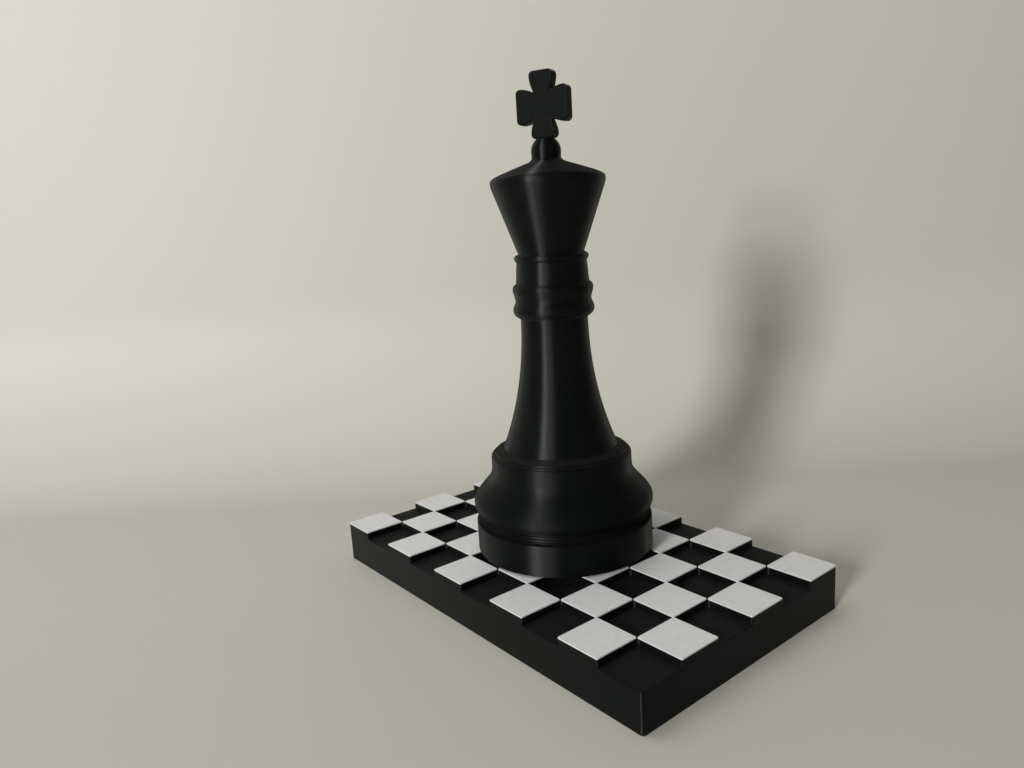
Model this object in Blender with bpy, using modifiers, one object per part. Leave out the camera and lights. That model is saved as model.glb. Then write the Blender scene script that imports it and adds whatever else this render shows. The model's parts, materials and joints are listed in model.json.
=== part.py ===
"""Giant chess king on a raised-square chessboard plinth.

The plinth is a black slab with thirty raised blocks, each topped by a thin white square, and thirty sunk
squares between them. The blocks' upright edges are rounded, so their corners don't quite meet. The king is a
stack of hollow turned sections: a weighted base drum, a bell that screws onto the threaded neck of the drum, a
column, a double-bead collar, a crown and a cross. A tie rod clamps the sections together. The king stands over
a steel peg in the middle of the plinth, so it turns on the board and lifts off it.

Units are metres in the scene. Outlines are (radius, height) pairs in millimetres above the white squares.
"""

import math

import bmesh
import bpy
from mathutils import Matrix

MM = 0.001
STEPS = 36                 # facets round a large turned piece
SMALL_STEPS = 20           # facets round a small turned piece
GAP = 0.3                  # clearance between neighbouring pieces, in mm

# Chessboard plinth, in mm
SQUARE = 25.0
FILES, RANKS = 10, 6
PLINTH_HEIGHT = 24.2
SUNK_DEPTH = 4.4
WHITE_THICKNESS = 0.6
BLOCK_EDGE_RADIUS = 0.8    # rounding of a raised block's upright edges
PLINTH_EDGE_RADIUS = 1.9   # rounding of the plinth's four upright edges
PEG_RADIUS = 4.0
PEG_TOP = 12.5             # above the white squares
PEG_BORE_DEPTH = 12.0      # below the sunk squares
OVERRUN = 2.0              # how far a cutter runs past the face that it opens

# Screw thread between the base drum and the bell, in mm
THREAD_PITCH = 1.66
THREAD_DEPTH = 0.8         # half the width of the diamond-section ridge
THREAD_START = 18.73       # height of the drum's ridge where it starts, at +X
NECK_RADIUS = 46.2
BELL_BORE_RADIUS = 48.0
RIDGE_RADIUS = 46.45       # path of the drum's ridge
BELL_RIDGE_RADIUS = 47.75  # path of the bell's ridge

# King, in mm above the white squares
DRUM_RADIUS = 50.0
DRUM_FOOT, DRUM_TOP = 0.9, 18.0
NECK_TOP = 27.0
BELL_FOOT, BELL_LEDGE = 23.3, 28.6
SHOULDER_TOP = 59.0
STEM_FOOT, STEM_TOP = 59.3, 131.0
COLLAR_FOOT, COLLAR_TOP = 131.3, 161.3
CROWN_FOOT = 161.6
RIM_RADIUS, RIM_HEIGHT = 30.6, 203.0
BALL_RADIUS, BALL_CENTRE = 7.9, 218.5
BALL_FLAT = 224.6
CROSS_FOOT, CROSS_CENTRE, CROSS_TOP = 224.9, 241.4, 258.6
CROSS_TURN = math.radians(23.6)   # the cross's broad direction, from +X
CROSS_THICKNESS = 7.4
SPIGOT_RADIUS = 12.0
ROD_RADIUS = 3.0
ROD_HOLE_RADIUS = 5.0
PIN_RADIUS = 1.5
PIN_HOLE_RADIUS = PIN_RADIUS + GAP
PIN_SEAT, PIN_TOP = 216.0, 232.5  # ends of the two holes that share the pin

# Fittings inside the base, in mm
BALLAST_INNER, BALLAST_OUTER, BALLAST_THICKNESS = 11.0, 35.5, 4.9
WELL_FLOOR = 4.6
COVER_LEDGE, COVER_THICKNESS, COVER_RADIUS = 17.0, 2.5, 42.4
SCREW_CIRCLE = 39.4        # distance of each cover screw from the axis
SCREW_SHANK_RADIUS = 1.5
SCREW_HOLE_FLOOR = 11.0


def clear_scene():
    for item in list(bpy.data.objects):
        bpy.data.objects.remove(item, do_unlink=True)


def collection(name):
    group = bpy.data.collections.new(name)
    bpy.context.scene.collection.children.link(group)
    return group


def material(name, colour, roughness, metallic=0.0):
    mat = bpy.data.materials.new(name)
    mat.use_nodes = True
    shader = mat.node_tree.nodes["Principled BSDF"]
    shader.inputs["Base Color"].default_value = (*colour, 1.0)
    shader.inputs["Roughness"].default_value = roughness
    shader.inputs["Metallic"].default_value = metallic
    return mat


clear_scene()
PARTS = collection("giant_chess_king")
CUTTERS = collection("cutters")
BLACK = material("black_print", (0.012, 0.012, 0.013), 0.45)
WHITE = material("white_print", (0.75, 0.75, 0.73), 0.55)
STEEL = material("steel", (0.55, 0.55, 0.57), 0.35, 1.0)
BRASS = material("brass", (0.72, 0.53, 0.24), 0.35, 1.0)
FELT = material("felt", (0.02, 0.025, 0.02), 0.95)
RUBBER = material("rubber", (0.02, 0.02, 0.02), 0.8)


# ---------------------------------------------------------------- outlines

def arc(centre, radius, start, end, count):
    """Points on an arc about a (radius, height) centre; angles in degrees, from outwards towards up."""
    angles = [math.radians(start + (end - start) * k / (count - 1)) for k in range(count)]
    return [(centre[0] + radius * math.cos(a), centre[1] + radius * math.sin(a)) for a in angles]


def bezier(a, b, c, d, count):
    """Points on a cubic curve from a to d."""
    points = []
    for k in range(count):
        t = k / (count - 1)
        weights = ((1 - t) ** 3, 3 * (1 - t) ** 2 * t, 3 * (1 - t) * t * t, t ** 3)
        points.append(tuple(sum(w * p[i] for w, p in zip(weights, (a, b, c, d))) for i in (0, 1)))
    return points


# ---------------------------------------------------------------- objects

def add_object(name, mesh, mat, group=None):
    mesh.materials.append(mat)
    item = bpy.data.objects.new(name, mesh)
    (group or PARTS).objects.link(item)
    return item


def bake(item):
    """Replaces the object's data with its evaluated mesh, welded and with its modifiers applied."""
    graph = bpy.context.evaluated_depsgraph_get()
    mesh = bpy.data.meshes.new_from_object(item.evaluated_get(graph))
    work = bmesh.new()
    work.from_mesh(mesh)
    bmesh.ops.remove_doubles(work, verts=work.verts, dist=1e-6)
    bmesh.ops.dissolve_degenerate(work, edges=work.edges, dist=1e-7)
    work.to_mesh(mesh)
    work.free()
    if item.type == "CURVE":
        name, mat, group = item.name, item.data.materials[0], item.users_collection[0]
        place = item.matrix_world.copy()
        bpy.data.objects.remove(item)
        mesh.materials.clear()
        item = add_object(name, mesh, mat, group)
        item.matrix_world = place
    else:
        item.modifiers.clear()
        item.data = mesh
    return item


def shade(item, degrees=35):
    item.data.shade_smooth()
    item.data.set_sharp_from_angle(angle=math.radians(degrees))


def turned(name, outline, mat, steps=STEPS, closed=True, group=None):
    """A turned piece: its outline runs down the outer side, then back up the inner side or to the axis."""
    mesh = bpy.data.meshes.new(name)
    points = [(r * MM, 0.0, (PLINTH_HEIGHT + z) * MM) for r, z in outline]
    edges = [(k, k + 1) for k in range(len(points) - 1)]
    if closed:
        edges.append((len(points) - 1, 0))
    mesh.from_pydata(points, edges, [])
    item = add_object(name, mesh, mat, group)
    screw = item.modifiers.new("turn", "SCREW")
    screw.axis = "Z"
    screw.angle = 2 * math.pi
    screw.steps = steps
    screw.render_steps = steps
    screw.use_merge_vertices = True
    screw.merge_threshold = 1e-5
    bpy.context.view_layer.update()
    item = bake(item)
    shade(item)
    return item


def tube(name, outer, inner, low, high, mat, steps=SMALL_STEPS):
    """A plain sleeve, washer or ring."""
    return turned(name, [(inner, high), (outer, high), (outer, low), (inner, low)], mat, steps)


def cylinder(name, radius, low, high, mat, steps=SMALL_STEPS, x=0.0, y=0.0, group=None):
    mesh = bpy.data.meshes.new(name)
    work = bmesh.new()
    place = Matrix.Translation((x * MM, y * MM, (PLINTH_HEIGHT + (low + high) / 2) * MM))
    bmesh.ops.create_cone(work, cap_ends=True, segments=steps, radius1=radius * MM, radius2=radius * MM,
                          depth=(high - low) * MM, matrix=place)
    work.to_mesh(mesh)
    work.free()
    return add_object(name, mesh, mat, group)


def cutter(item):
    item.hide_render = True
    item.display_type = "WIRE"
    return item


def combine(item, other, operation):
    change = item.modifiers.new(operation.lower(), "BOOLEAN")
    change.operation = operation
    change.solver = "EXACT"
    change.object = other


def joined(item, other):
    """One body made of two: the union is applied and the second object removed."""
    combine(item, other, "UNION")
    bpy.context.view_layer.update()
    item = bake(item)
    bpy.data.objects.remove(other)
    shade(item)
    return item


# ---------------------------------------------------------------- plinth

def raised_squares():
    """Columns and rows of the raised squares."""
    return [(column, row) for column in range(FILES) for row in range(RANKS) if (column + row) % 2 == 0]


def rectangle_outline(west, south, east, north):
    """Plan of a rectangle with rounded upright edges, rounder where it makes a corner of the plinth."""
    points = []
    corners = ((east, north, -1, -1), (west, north, 1, -1), (west, south, 1, 1), (east, south, -1, 1))
    for k, (x, y, inward_x, inward_y) in enumerate(corners):
        on_plinth_corner = abs(x) == FILES / 2 * SQUARE and abs(y) == RANKS / 2 * SQUARE
        r = PLINTH_EDGE_RADIUS if on_plinth_corner else BLOCK_EDGE_RADIUS
        points += arc((x + inward_x * r, y + inward_y * r), r, 90 * k, 90 * k + 90, 3)
    return points


def block_outline(column, row):
    west, south = (column - FILES / 2) * SQUARE, (row - RANKS / 2) * SQUARE
    return rectangle_outline(west, south, west + SQUARE, south + SQUARE)


def prism(name, outlines, low, high, mat, group=None):
    """Upright prisms on plan outlines, between two heights in mm above the plinth's underside."""
    mesh = bpy.data.meshes.new(name)
    work = bmesh.new()
    for outline in outlines:
        base = work.faces.new([work.verts.new((x * MM, y * MM, low * MM)) for x, y in outline])
        lifted = bmesh.ops.extrude_face_region(work, geom=[base])
        top = [v for v in lifted["geom"] if isinstance(v, bmesh.types.BMVert)]
        bmesh.ops.translate(work, vec=(0, 0, (high - low) * MM), verts=top)
    bmesh.ops.recalc_face_normals(work, faces=work.faces)
    work.to_mesh(mesh)
    work.free()
    return add_object(name, mesh, mat, group)


def build_plinth():
    """Slab with raised blocks, white squares on the blocks, and the peg in its bore."""
    half_x, half_y = FILES / 2 * SQUARE, RANKS / 2 * SQUARE
    block_top = PLINTH_HEIGHT - WHITE_THICKNESS - GAP
    sunk_level = PLINTH_HEIGHT - SUNK_DEPTH
    body = prism("board_body", [rectangle_outline(-half_x, -half_y, half_x, half_y)], 0, sunk_level, BLACK)
    outlines = [block_outline(column, row) for column, row in raised_squares()]
    combine(body, cutter(prism("blocks", outlines, sunk_level - OVERRUN, block_top, BLACK, CUTTERS)), "UNION")
    floor = -SUNK_DEPTH - PEG_BORE_DEPTH
    bore = cutter(cylinder("peg_bore", PEG_RADIUS + GAP, floor, OVERRUN, STEEL, group=CUTTERS))
    combine(body, bore, "DIFFERENCE")
    relief = cutter(cylinder("peg_relief", PEG_RADIUS + 2.0, -OVERRUN, OVERRUN, STEEL, group=CUTTERS))
    for column, row in raised_squares():
        name = f"white_square_{'abcdefghij'[column]}{row + 1}"
        tile = prism(name, [block_outline(column, row)], block_top + GAP, PLINTH_HEIGHT, WHITE)
        if column in (4, 5) and row in (2, 3):
            combine(tile, relief, "DIFFERENCE")
    lead, foot_chamfer = 1.2, 0.6
    peg = [(0, PEG_TOP), (PEG_RADIUS - lead, PEG_TOP), (PEG_RADIUS, PEG_TOP - lead),
           (PEG_RADIUS, floor + GAP + foot_chamfer), (PEG_RADIUS - foot_chamfer, floor + GAP),
           (0, floor + GAP)]
    turned("board_peg", peg, STEEL, SMALL_STEPS, closed=False)


# ---------------------------------------------------------------- king

def thread_ridge(name, path_radius, low, turns, mat):
    """A diamond-section ridge wound right-handed about the king's axis."""
    curve = bpy.data.curves.new(name, "CURVE")
    curve.dimensions = "3D"
    curve.twist_mode = "Z_UP"
    curve.bevel_depth = THREAD_DEPTH * MM
    curve.bevel_resolution = 0
    curve.use_fill_caps = True
    curve.resolution_u = 1
    curve.render_resolution_u = 0
    spline = curve.splines.new("POLY")
    count = int(turns * STEPS) + 1
    spline.points.add(count - 1)
    for k, point in enumerate(spline.points):
        angle = 2 * math.pi * k / STEPS
        height = low + THREAD_PITCH * k / STEPS
        point.co = (path_radius * math.cos(angle) * MM, path_radius * math.sin(angle) * MM,
                    (PLINTH_HEIGHT + height) * MM, 1.0)
    curve.materials.append(mat)
    item = bpy.data.objects.new(name, curve)
    CUTTERS.objects.link(item)
    bpy.context.view_layer.update()
    return bake(item)


def build_base_drum():
    """Weighted drum: felt recess, floor, hub for the pivot bush, ledge for the cover, and threaded neck."""
    outline = [
        (42.8, NECK_TOP), (NECK_RADIUS - 0.8, NECK_TOP), (NECK_RADIUS, NECK_TOP - 0.8),
        (NECK_RADIUS, DRUM_TOP), (DRUM_RADIUS - 0.4, DRUM_TOP), (DRUM_RADIUS, DRUM_TOP - 0.4),
        (DRUM_RADIUS, DRUM_FOOT + 0.6), (DRUM_RADIUS - 0.6, DRUM_FOOT), (47.5, DRUM_FOOT), (47.5, 1.6),
        (7.0, 1.6), (7.0, 13.5), (10.5, 13.5), (10.5, WELL_FLOOR),
        (45.5, WELL_FLOOR), (45.5, 10.0), (36.0, 13.3), (36.0, COVER_LEDGE), (42.8, COVER_LEDGE),
    ]
    drum = turned("base_drum", outline, BLACK)
    ridge = thread_ridge("neck_thread", RIDGE_RADIUS, THREAD_START, 4.25, BLACK)
    return joined(drum, ridge)


def build_bell():
    """Ogee bell: bored below for the drum's neck, bulkhead above with the column's socket."""
    outer = arc((37.6, 56.0), 1.9, 90, 20, 3)
    outline = [(24.3, SHOULDER_TOP), (31.9, SHOULDER_TOP), (37.0, 57.0)]
    outline += outer[1:]
    outline += [(39.6, 52.0), (39.7, 47.5)]
    outline += bezier((39.8, 45.5), (40.4, 41.0), (47.6, 34.0), (50.2, 30.8), 6)
    outline += bezier((50.7, 29.0), (51.1, 27.4), (50.6, 25.4), (49.2, BELL_FOOT + 0.2), 4)
    outline += [(48.5, BELL_FOOT), (BELL_BORE_RADIUS, BELL_FOOT), (BELL_BORE_RADIUS, BELL_LEDGE)]
    outline += [(43.8, BELL_LEDGE), (43.8, 32.0), (36.2, 41.5), (36.2, 47.0), (ROD_HOLE_RADIUS, 47.0)]
    outline += [(ROD_HOLE_RADIUS, 51.0), (24.3, 51.0)]
    bell = turned("bell", outline, BLACK)
    ridge = thread_ridge("bell_thread", BELL_RIDGE_RADIUS, THREAD_START + 3.5 * THREAD_PITCH, 1.25, BLACK)
    return joined(bell, ridge)


def build_stem():
    """Concave column with a foot spigot and a top spigot, hollow between its end walls."""
    side = bezier((32.0, STEM_FOOT), (21.0, 86.2), (18.5, 110.8), (18.35, STEM_TOP), 9)
    outline = [(ROD_HOLE_RADIUS, 141.0), (SPIGOT_RADIUS, 141.0), (SPIGOT_RADIUS, STEM_TOP)]
    outline += list(reversed(side))
    outline += [(24.0, STEM_FOOT), (24.0, 51.3), (ROD_HOLE_RADIUS, 51.3), (ROD_HOLE_RADIUS, 56.0)]
    outline += [(20.5, 56.0), (20.5, 78.0), (14.8, 104.0), (14.8, 122.0), (ROD_HOLE_RADIUS, 127.0)]
    return turned("stem", outline, BLACK)


def build_collar():
    """Double-bead collar running up into a plain neck, with a socket below and a spigot above."""
    outline = [(ROD_HOLE_RADIUS, 169.0), (SPIGOT_RADIUS, 169.0), (SPIGOT_RADIUS, COLLAR_TOP)]
    outline += [(19.1, COLLAR_TOP), (19.6, 152.0), (20.2, 150.0)]
    outline += arc((20.6, 147.6), 1.4, 60, -20, 3)
    outline += [(20.7, 140.8)]
    outline += arc((19.6, 136.0), 2.55, 55, -45, 5)
    outline += [(19.0, 131.6), (18.6, COLLAR_FOOT), (SPIGOT_RADIUS + GAP, COLLAR_FOOT)]
    outline += [(SPIGOT_RADIUS + GAP, 141.3), (ROD_HOLE_RADIUS, 141.3)]
    return turned("collar", outline, BLACK)


def build_crown():
    """Flared crown with a bead at its foot, domed top and ball, hollow above the hub of the insert."""
    ball_edge = math.sqrt(BALL_RADIUS ** 2 - (BALL_FLAT - BALL_CENTRE) ** 2)
    top_angle = math.degrees(math.asin((BALL_FLAT - BALL_CENTRE) / BALL_RADIUS))
    outline = [(0, PIN_SEAT), (PIN_HOLE_RADIUS, PIN_SEAT), (PIN_HOLE_RADIUS, BALL_FLAT)]
    outline.append((ball_edge, BALL_FLAT))
    outline += arc((0, BALL_CENTRE), BALL_RADIUS, top_angle, 0, 4)[1:]
    outline += [(7.7, 215.2)]
    outline += bezier((8.0, 214.0), (14.0, 211.8), (22.0, 209.4), (27.6, 206.6), 5)
    outline += arc((RIM_RADIUS - 2.2, RIM_HEIGHT + 0.6), 2.3, 50, -20, 4)
    outline += [(17.8, 166.0), (19.6, 165.1)]
    outline += arc((18.9, 163.7), 1.3, 45, -45, 3)
    outline += [(19.4, 162.0), (19.1, CROWN_FOOT), (SPIGOT_RADIUS + GAP, CROWN_FOOT)]
    outline += [(SPIGOT_RADIUS + GAP, 169.3), (4.9, 169.3), (4.9, 181.0), (18.5, 181.0), (26.6, 202.0)]
    outline += [(20.0, 205.5), (0, 208.0)]
    return turned("crown", outline, BLACK, closed=False)


def cross_outline():
    """Cross with four flared, round-cornered arms, as (sideways, height) pairs in mm about its centre."""
    inner_s, inner_h, corner = 4.4, 6.7, 2.4
    arms = ((14.3, 8.9, inner_s, inner_h), (CROSS_TOP - CROSS_CENTRE, 6.6, inner_h, inner_s),
            (14.3, 8.9, inner_s, inner_h), (CROSS_CENTRE - CROSS_FOOT, 6.6, inner_h, inner_s))
    points = []
    for quarter, (reach, half_width, along, across) in enumerate(arms):
        length, spread = reach - along, half_width - across
        upper = bezier((along, across), (along + length * 0.3, across + spread * 0.65),
                       (along + length * 0.55, half_width), (reach - corner, half_width), 5)
        upper += arc((reach - corner, half_width - corner), corner, 90, 0, 4)[1:]
        lower = [(u, -v) for u, v in upper]
        turn = quarter * math.pi / 2
        for u, v in (lower + upper[::-1])[:-1]:
            points.append((u * math.cos(turn) - v * math.sin(turn), u * math.sin(turn) + v * math.cos(turn)))
    return points


def build_cross():
    curve = bpy.data.curves.new("cross", "CURVE")
    curve.dimensions = "2D"
    curve.fill_mode = "BOTH"
    curve.extrude = CROSS_THICKNESS / 2 * MM
    curve.resolution_u = 1
    curve.render_resolution_u = 0
    outline = cross_outline()
    spline = curve.splines.new("POLY")
    spline.points.add(len(outline) - 1)
    spline.use_cyclic_u = True
    for point, (side, height) in zip(spline.points, outline):
        point.co = (side * MM, height * MM, 0.0, 1.0)
    curve.materials.append(BLACK)
    cross = bpy.data.objects.new("cross", curve)
    PARTS.objects.link(cross)
    cross.matrix_world = (Matrix.Translation((0, 0, (PLINTH_HEIGHT + CROSS_CENTRE) * MM))
                          @ Matrix.Rotation(CROSS_TURN, 4, "Z") @ Matrix.Rotation(math.pi / 2, 4, "X"))
    bpy.context.view_layer.update()
    cross = bake(cross)
    hole = cutter(cylinder("cross_pin_hole", PIN_HOLE_RADIUS, CROSS_FOOT - OVERRUN, PIN_TOP, STEEL, 16,
                           group=CUTTERS))
    combine(cross, hole, "DIFFERENCE")
    bevel = cross.modifiers.new("rounded_edges", "BEVEL")
    bevel.width = 0.6 * MM
    bevel.segments = 1
    bevel.limit_method = "ANGLE"
    bevel.angle_limit = math.radians(60)
    pin = [(0, PIN_TOP - GAP), (PIN_RADIUS, PIN_TOP - GAP), (PIN_RADIUS, PIN_SEAT + GAP), (0, PIN_SEAT + GAP)]
    turned("cross_pin", pin, STEEL, 16, closed=False)


# ---------------------------------------------------------------- inside the king

def cover_screw(name, angle):
    """Pan-head screw through the ballast cover into the drum's ledge."""
    seat = COVER_LEDGE + GAP + COVER_THICKNESS + GAP
    outline = [(0, seat + 1.9), (1.9, seat + 1.9), (2.7, seat + 1.3), (2.7, seat), (SCREW_SHANK_RADIUS, seat),
               (SCREW_SHANK_RADIUS, 14.4), (0, 13.9)]
    screw = turned(name, outline, STEEL, 12, closed=False)
    screw.location = (SCREW_CIRCLE * math.cos(angle) * MM, SCREW_CIRCLE * math.sin(angle) * MM, 0)


def build_base_fittings(drum):
    tube("felt_pad", 47.2, 5.5, GAP, GAP + 1.0, FELT, STEPS)
    bush = [(4.3, 15.0), (9.0, 15.0), (9.0, 13.8), (6.7, 13.8), (6.7, 1.9), (4.3, 1.9)]
    turned("pivot_bush", bush, BRASS, SMALL_STEPS)
    low = WELL_FLOOR + GAP
    for name in ("ballast_ring_lower", "ballast_ring_upper"):
        tube(name, BALLAST_OUTER, BALLAST_INNER, low, low + BALLAST_THICKNESS, STEEL, STEPS)
        low += BALLAST_THICKNESS + GAP
    under = COVER_LEDGE + GAP
    over = under + COVER_THICKNESS
    disc = [(0, over), (COVER_RADIUS, over), (COVER_RADIUS, under), (0, under)]
    cover = turned("ballast_cover", disc, BLACK, STEPS, closed=False)
    for k in range(4):
        angle = math.radians(45 + 90 * k)
        cover_screw(f"cover_screw_{k + 1}", angle)
        x, y = SCREW_CIRCLE * math.cos(angle), SCREW_CIRCLE * math.sin(angle)
        through = cutter(cylinder(f"screw_hole_{k + 1}", SCREW_SHANK_RADIUS + GAP, SCREW_HOLE_FLOOR,
                                  over + OVERRUN, STEEL, 12, x, y, CUTTERS))
        combine(cover, through, "DIFFERENCE")
        combine(drum, through, "DIFFERENCE")
    tube("seal_ring", 46.0, 43.2, NECK_TOP + GAP, NECK_TOP + 1.3, RUBBER, STEPS)


def hex_nut(name, low, high, across_flats):
    """Hexagonal nut with a plain bore for the tie rod."""
    nut = cylinder(name, across_flats / math.sqrt(3), low, high, STEEL, 6)
    bevel = nut.modifiers.new("worn_corners", "BEVEL")
    bevel.width = 0.4 * MM
    bevel.segments = 1
    bore = cutter(cylinder(name + "_bore", ROD_RADIUS + GAP, low - OVERRUN, high + OVERRUN, STEEL,
                           group=CUTTERS))
    combine(nut, bore, "DIFFERENCE")


def build_tie_rod():
    rod = [(0, 184.0), (ROD_RADIUS - 0.6, 184.0), (ROD_RADIUS, 183.4), (ROD_RADIUS, 36.6),
           (ROD_RADIUS - 0.6, 36.0), (0, 36.0)]
    turned("tie_rod", rod, STEEL, SMALL_STEPS, closed=False)
    tube("crown_insert", 4.6, ROD_RADIUS + GAP, 169.7, 180.7, BRASS)
    tube("clamp_washer", 10.0, ROD_RADIUS + GAP, 45.1, 46.7, STEEL)
    hex_nut("clamp_nut", 39.8, 44.8, 10.0)


def build_king():
    drum = build_base_drum()
    build_base_fittings(drum)
    build_bell()
    build_stem()
    build_collar()
    build_crown()
    build_cross()
    build_tie_rod()


build_plinth()
build_king()
bpy.context.view_layer.update()
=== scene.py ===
"""Looks for the giant chess king on its chessboard plinth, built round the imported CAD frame.

The frame gives every place and main size. Lengths in the outlines are millimetres: turned outlines are
(radius, height) pairs with heights above the white squares, and plan outlines are (x, y) pairs from the
king's axis.
"""

import math

import bmesh
import bpy
from mathutils import Matrix, Vector
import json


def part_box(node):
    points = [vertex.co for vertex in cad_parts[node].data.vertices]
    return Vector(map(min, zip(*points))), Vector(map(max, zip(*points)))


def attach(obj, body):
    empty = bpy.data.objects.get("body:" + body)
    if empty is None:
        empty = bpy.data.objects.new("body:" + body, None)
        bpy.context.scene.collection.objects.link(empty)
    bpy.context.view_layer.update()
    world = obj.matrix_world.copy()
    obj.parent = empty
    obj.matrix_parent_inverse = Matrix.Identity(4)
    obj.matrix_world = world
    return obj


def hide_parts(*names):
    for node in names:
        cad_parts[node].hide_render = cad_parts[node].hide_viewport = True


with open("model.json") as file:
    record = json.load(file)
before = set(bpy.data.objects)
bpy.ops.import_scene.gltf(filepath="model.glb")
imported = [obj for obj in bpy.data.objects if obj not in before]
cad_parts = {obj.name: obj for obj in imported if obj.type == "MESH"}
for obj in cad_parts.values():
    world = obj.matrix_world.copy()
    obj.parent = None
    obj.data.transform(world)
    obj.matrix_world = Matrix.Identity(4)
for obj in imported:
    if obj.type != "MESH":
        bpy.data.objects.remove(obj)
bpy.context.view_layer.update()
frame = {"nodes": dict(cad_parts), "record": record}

MM = 0.001
UP = (0.0, 0.0, 1.0)
SEGMENTS = 192             # facets round a large turned piece
SMALL_SEGMENTS = 64        # facets round a small turned piece
SQUARE_NAMES = [f"{file}{rank}" for file in "abcdefghij" for rank in range(1, 7)]
RAISED = [name for name in SQUARE_NAMES if f"white_square_{name}" in frame["nodes"]]
BODIES = frame["record"]["behaviour"]["bodies"]
BODY_OF = {node: body for body, nodes in BODIES.items() for node in nodes}
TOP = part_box("white_square_a1")[1].z / MM
LAYER = 0.2                # printed layer height
LINE = 0.42                # width of one printed line
HAIRLINE = 0.02            # clearance between pieces that touch
WELD = 1e-6                # distance in metres at which points are merged


def levels(node):
    """Lowest and highest level of a CAD node, in mm above the white squares."""
    low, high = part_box(node)
    return low.z / MM - TOP, high.z / MM - TOP


def radius_of(node):
    """Greatest radius of a CAD node that is turned about the king's axis, in mm."""
    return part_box(node)[1].x / MM


# ---------------------------------------------------------------- outlines

def arc(centre, radius, start, end, count=9):
    """Points on an arc about a centre; angles in degrees, from outwards towards up."""
    angles = [math.radians(start + (end - start) * k / (count - 1)) for k in range(count)]
    return [(centre[0] + radius * math.cos(a), centre[1] + radius * math.sin(a)) for a in angles]


def bezier(a, b, c, d, count=12):
    """Points on a cubic curve from a to d."""
    points = []
    for k in range(count):
        t = k / (count - 1)
        weights = ((1 - t) ** 3, 3 * (1 - t) ** 2 * t, 3 * (1 - t) * t * t, t ** 3)
        points.append(tuple(sum(w * p[i] for w, p in zip(weights, (a, b, c, d))) for i in range(2)))
    return points


def filleted(corners, steps=4):
    """A closed outline in which a corner given as (radius, height, fillet) is rounded by an arc."""
    points = []
    for k, corner in enumerate(corners):
        here = Vector(corner[:2])
        if len(corner) == 2:
            points.append(tuple(here))
            continue
        back = (Vector(corners[k - 1][:2]) - here).normalized()
        ahead = (Vector(corners[(k + 1) % len(corners)][:2]) - here).normalized()
        half = back.angle(ahead) / 2
        centre = here + (back + ahead).normalized() * (corner[2] / math.sin(half))
        reach = corner[2] / math.tan(half)
        first, last = here + back * reach - centre, here + ahead * reach - centre
        start = math.atan2(first.y, first.x)
        sweep = math.remainder(math.atan2(last.y, last.x) - start, 2 * math.pi)
        for j in range(steps + 1):
            angle = start + sweep * j / steps
            points.append((centre.x + corner[2] * math.cos(angle), centre.y + corner[2] * math.sin(angle)))
    return points


# ---------------------------------------------------------------- objects

def add_piece(name, mesh, mat):
    """A new object in the scene, with one material."""
    mesh.materials.append(mat)
    piece = bpy.data.objects.new(name, mesh)
    bpy.context.scene.collection.objects.link(piece)
    return piece


def applied(piece):
    """The piece with its modifiers applied to its mesh."""
    graph = bpy.context.evaluated_depsgraph_get()
    mesh = bpy.data.meshes.new_from_object(piece.evaluated_get(graph))
    old = piece.data
    piece.modifiers.clear()
    piece.data = mesh
    bpy.data.meshes.remove(old)
    return piece


def smooth(piece, degrees=30):
    """Smooth shading with sharp edges kept, and normals weighted by face area so that flats stay flat."""
    piece.data.shade_smooth()
    piece.data.set_sharp_from_angle(angle=math.radians(degrees))
    weighted = piece.modifiers.new("weighted_normals", "WEIGHTED_NORMAL")
    weighted.keep_sharp = True
    return piece


def turned(name, outline, mat, steps=SEGMENTS, closed=True):
    """A turned piece: its outline runs down the outer side, then back up the inner side or to the axis."""
    mesh = bpy.data.meshes.new(name)
    points = [(r * MM, 0.0, (TOP + z) * MM) for r, z in outline]
    edges = [(k, k + 1) for k in range(len(points) - 1)]
    if closed:
        edges.append((len(points) - 1, 0))
    mesh.from_pydata(points, edges, [])
    piece = add_piece(name, mesh, mat)
    screw = piece.modifiers.new("turn", "SCREW")
    screw.axis = "Z"
    screw.angle = 2 * math.pi
    screw.steps = steps
    screw.render_steps = steps
    screw.use_merge_vertices = True
    screw.merge_threshold = WELD
    return smooth(cleaned(applied(piece)))


def cleaned(piece):
    """Welds coincident points, drops degenerate faces and points every face outwards."""
    work = bmesh.new()
    work.from_mesh(piece.data)
    bmesh.ops.remove_doubles(work, verts=work.verts, dist=WELD)
    bmesh.ops.dissolve_degenerate(work, edges=work.edges, dist=WELD / 10)
    bmesh.ops.recalc_face_normals(work, faces=work.faces)
    work.to_mesh(piece.data)
    work.free()
    return piece


def combine(piece, other, operation):
    """Boolean of two pieces, applied; the second piece is removed."""
    change = piece.modifiers.new(operation.lower(), "BOOLEAN")
    change.operation = operation
    change.solver = "EXACT"
    change.object = other
    bpy.context.view_layer.update()
    piece = applied(piece)
    bpy.data.objects.remove(other)
    return cleaned(piece)


def prism(name, outlines, low, high, mat):
    """Upright prisms on closed plan outlines, between two heights above the plinth's underside."""
    mesh = bpy.data.meshes.new(name)
    work = bmesh.new()
    for outline in outlines:
        ring = [work.verts.new((x * MM, y * MM, low * MM)) for x, y in outline]
        base = work.faces.new(ring)
        lifted = bmesh.ops.extrude_face_region(work, geom=[base])
        top = [v for v in lifted["geom"] if isinstance(v, bmesh.types.BMVert)]
        bmesh.ops.translate(work, vec=(0, 0, (high - low) * MM), verts=top)
    bmesh.ops.recalc_face_normals(work, faces=work.faces)
    work.to_mesh(mesh)
    work.free()
    return add_piece(name, mesh, mat)


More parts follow.
